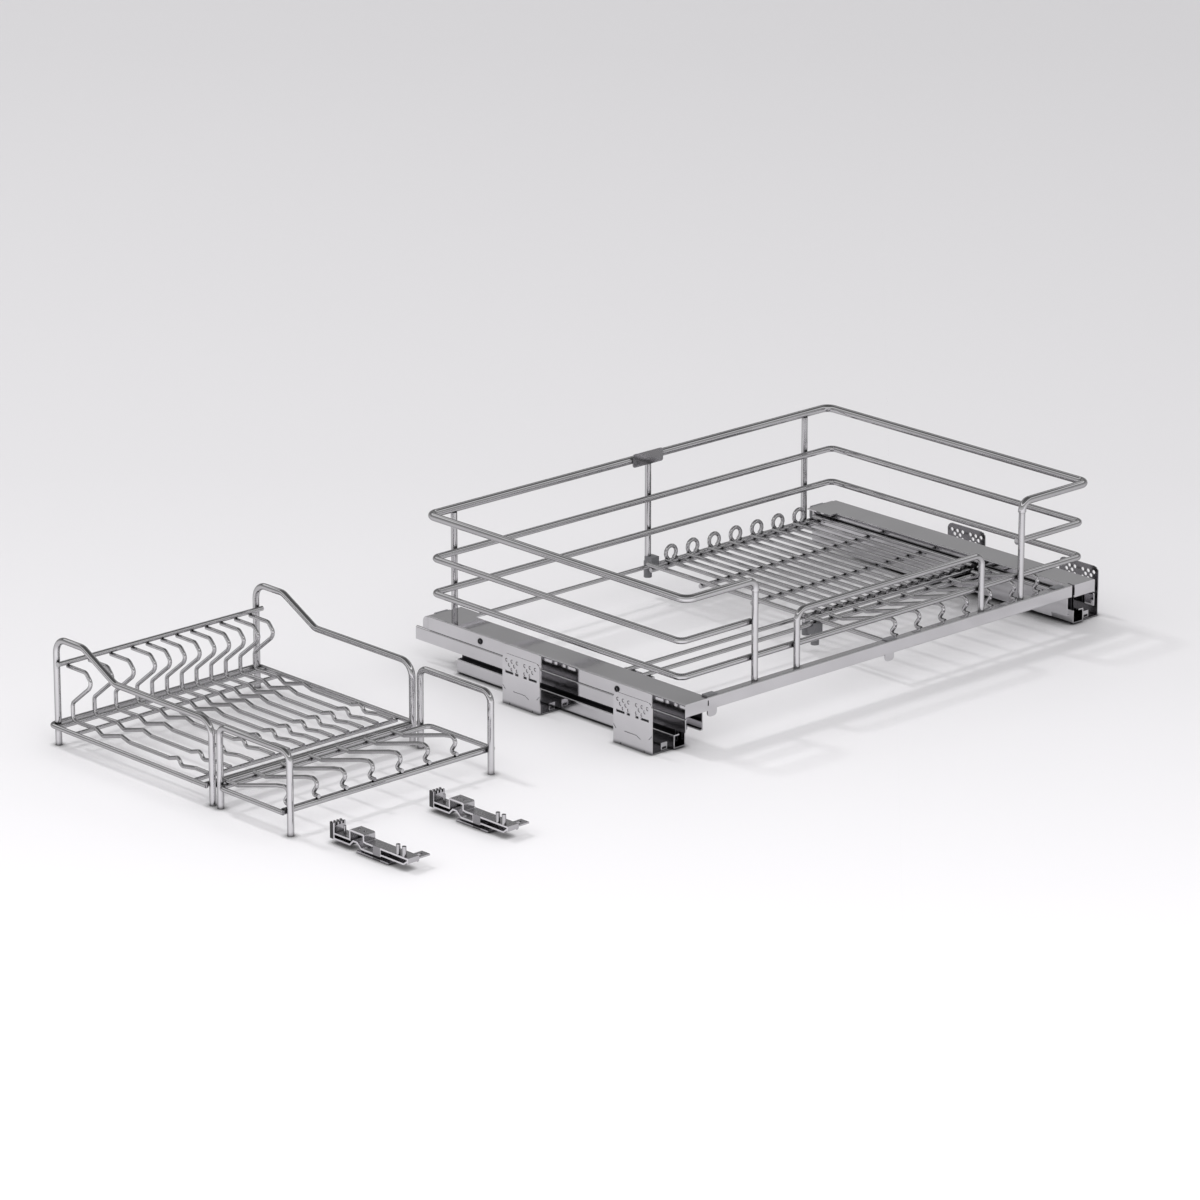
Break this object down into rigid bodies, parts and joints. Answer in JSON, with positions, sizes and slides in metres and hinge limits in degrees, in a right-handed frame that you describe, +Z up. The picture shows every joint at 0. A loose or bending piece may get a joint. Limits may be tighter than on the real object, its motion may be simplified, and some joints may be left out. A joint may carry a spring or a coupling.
{
  "type": "pull-out dish rack",
  "caption": "Pull-out wire dish rack for a kitchen base cabinet, on low full-extension runners, with plate and bowl inserts and loose front locking devices.",
  "frame": {"origin": "on the cabinet floor, midway between the cabinet sides, under the front face of the front bar", "axes": "+X to the right, +Y into the cabinet, +Z up; the basket pulls out along -Y"},
  "size_m": [1.255, 0.6085, 0.1932],
  "materials": {
    "chrome_wire": "bright chrome on round wire",
    "bright_steel": "bright plated sheet, fine grain",
    "zinc_steel": "zinc plated sheet, satin",
    "dark_steel": "greased steel inside the runner, dark",
    "dark_plastic": "satin moulded",
    "grey_plastic": "satin moulded",
    "lock_body": "dull plated, satin"
  },
  "bodies": {
    "cabinet_side": {"left_front_bracket": "zinc_steel", "left_rear_bracket": "zinc_steel", "left_cabinet_rail": "zinc_steel", "left_bracket_rivets": "zinc_steel", "left_soft_close_unit": "dark_plastic", "right_front_bracket": "zinc_steel", "right_rear_bracket": "zinc_steel", "right_cabinet_rail": "zinc_steel", "right_bracket_rivets": "zinc_steel", "right_soft_close_unit": "dark_plastic"},
    "basket": {"cover_screws": "chrome_wire", "front_bar": "bright_steel", "top_rim": "chrome_wire", "middle_rim": "chrome_wire", "lower_rim": "chrome_wire", "front_hoop": "chrome_wire", "left_front_post": "chrome_wire", "right_front_post": "chrome_wire", "left_rear_post": "chrome_wire", "right_rear_post": "chrome_wire", "middle_rear_post": "chrome_wire", "front_floor_wire": "chrome_wire", "middle_floor_wire": "chrome_wire", "rear_floor_wire": "chrome_wire", "front_clip": "grey_plastic", "middle_clip": "grey_plastic", "rear_clip": "grey_plastic", "badge_plate": "chrome_wire", "bar_clips": "grey_plastic", "left_side_cover": "bright_steel", "left_drawer_member": "bright_steel", "left_inner_web": "bright_steel", "left_rear_end_piece": "grey_plastic", "right_side_cover": "bright_steel", "right_drawer_member": "bright_steel", "right_inner_web": "bright_steel", "right_rear_end_piece": "grey_plastic"},
    "left_middle": {"left_middle_member": "dark_steel"},
    "left_lower_cage": {"left_lower_roller_cage": "dark_plastic", "left_lower_rollers": "dark_steel"},
    "left_upper_cage": {"left_upper_roller_cage": "dark_plastic", "left_upper_rollers": "dark_steel"},
    "right_middle": {"right_middle_member": "dark_steel"},
    "right_lower_cage": {"right_lower_roller_cage": "dark_plastic", "right_lower_rollers": "dark_steel"},
    "right_upper_cage": {"right_upper_roller_cage": "dark_plastic", "right_upper_rollers": "dark_steel"},
    "right_rear_insert": {"right_rear_insert_frame": "chrome_wire", "right_rear_insert_wires": "chrome_wire"},
    "right_front_insert": {"right_front_insert_frame": "chrome_wire", "right_front_insert_wires": "chrome_wire"},
    "plate_insert": {"plate_insert_frame": "chrome_wire", "plate_insert_wires": "chrome_wire", "plate_insert_cross_wires": "chrome_wire"},
    "bowl_insert": {"bowl_insert_frame": "chrome_wire", "bowl_insert_wires": "chrome_wire"},
    "first_lock": {"first_locking_device": "lock_body", "first_locking_pins": "zinc_steel"},
    "second_lock": {"second_locking_device": "lock_body", "second_locking_pins": "zinc_steel"}
  },
  "joints": [
    {"name": "basket_slide", "type": "slide", "parent": "cabinet_side", "child": "basket", "axis": [0, -1, 0], "range_m": [0, 0.44]},
    {"name": "left_middle_slide", "type": "slide", "parent": "cabinet_side", "child": "left_middle", "axis": [0, -1, 0], "range_m": [0, 0.22]},
    {"name": "left_lower_cage_slide", "type": "slide", "parent": "cabinet_side", "child": "left_lower_cage", "axis": [0, -1, 0], "range_m": [0, 0.11]},
    {"name": "left_upper_cage_slide", "type": "slide", "parent": "cabinet_side", "child": "left_upper_cage", "axis": [0, -1, 0], "range_m": [0, 0.33]},
    {"name": "right_middle_slide", "type": "slide", "parent": "cabinet_side", "child": "right_middle", "axis": [0, -1, 0], "range_m": [0, 0.22]},
    {"name": "right_lower_cage_slide", "type": "slide", "parent": "cabinet_side", "child": "right_lower_cage", "axis": [0, -1, 0], "range_m": [0, 0.11]},
    {"name": "right_upper_cage_slide", "type": "slide", "parent": "cabinet_side", "child": "right_upper_cage", "axis": [0, -1, 0], "range_m": [0, 0.33]},
    {"name": "right_rear_insert_lift", "type": "slide", "parent": "basket", "child": "right_rear_insert", "axis": [0, 0, 1], "range_m": [0, 0.2]},
    {"name": "right_front_insert_lift", "type": "slide", "parent": "basket", "child": "right_front_insert", "axis": [0, 0.1045, 0.9945], "range_m": [0, 0.15]},
    {"name": "plate_insert_lift", "type": "slide", "parent": "cabinet_side", "child": "plate_insert", "axis": [0, 0, 1], "range_m": [0, 0.1]},
    {"name": "bowl_insert_lift", "type": "slide", "parent": "cabinet_side", "child": "bowl_insert", "axis": [0, 0, 1], "range_m": [0, 0.1]},
    {"name": "first_lock_lift", "type": "slide", "parent": "cabinet_side", "child": "first_lock", "axis": [0, 0, 1], "range_m": [0, 0.1]},
    {"name": "second_lock_lift", "type": "slide", "parent": "cabinet_side", "child": "second_lock", "axis": [0, 0, 1], "range_m": [0, 0.1]}
  ],
  "couplings": [
    {"joint": "left_middle_slide", "follows": "basket_slide", "ratio": 0.5},
    {"joint": "left_lower_cage_slide", "follows": "basket_slide", "ratio": 0.25},
    {"joint": "left_upper_cage_slide", "follows": "basket_slide", "ratio": 0.75},
    {"joint": "right_middle_slide", "follows": "basket_slide", "ratio": 0.5},
    {"joint": "right_lower_cage_slide", "follows": "basket_slide", "ratio": 0.25},
    {"joint": "right_upper_cage_slide", "follows": "basket_slide", "ratio": 0.75}
  ]
}
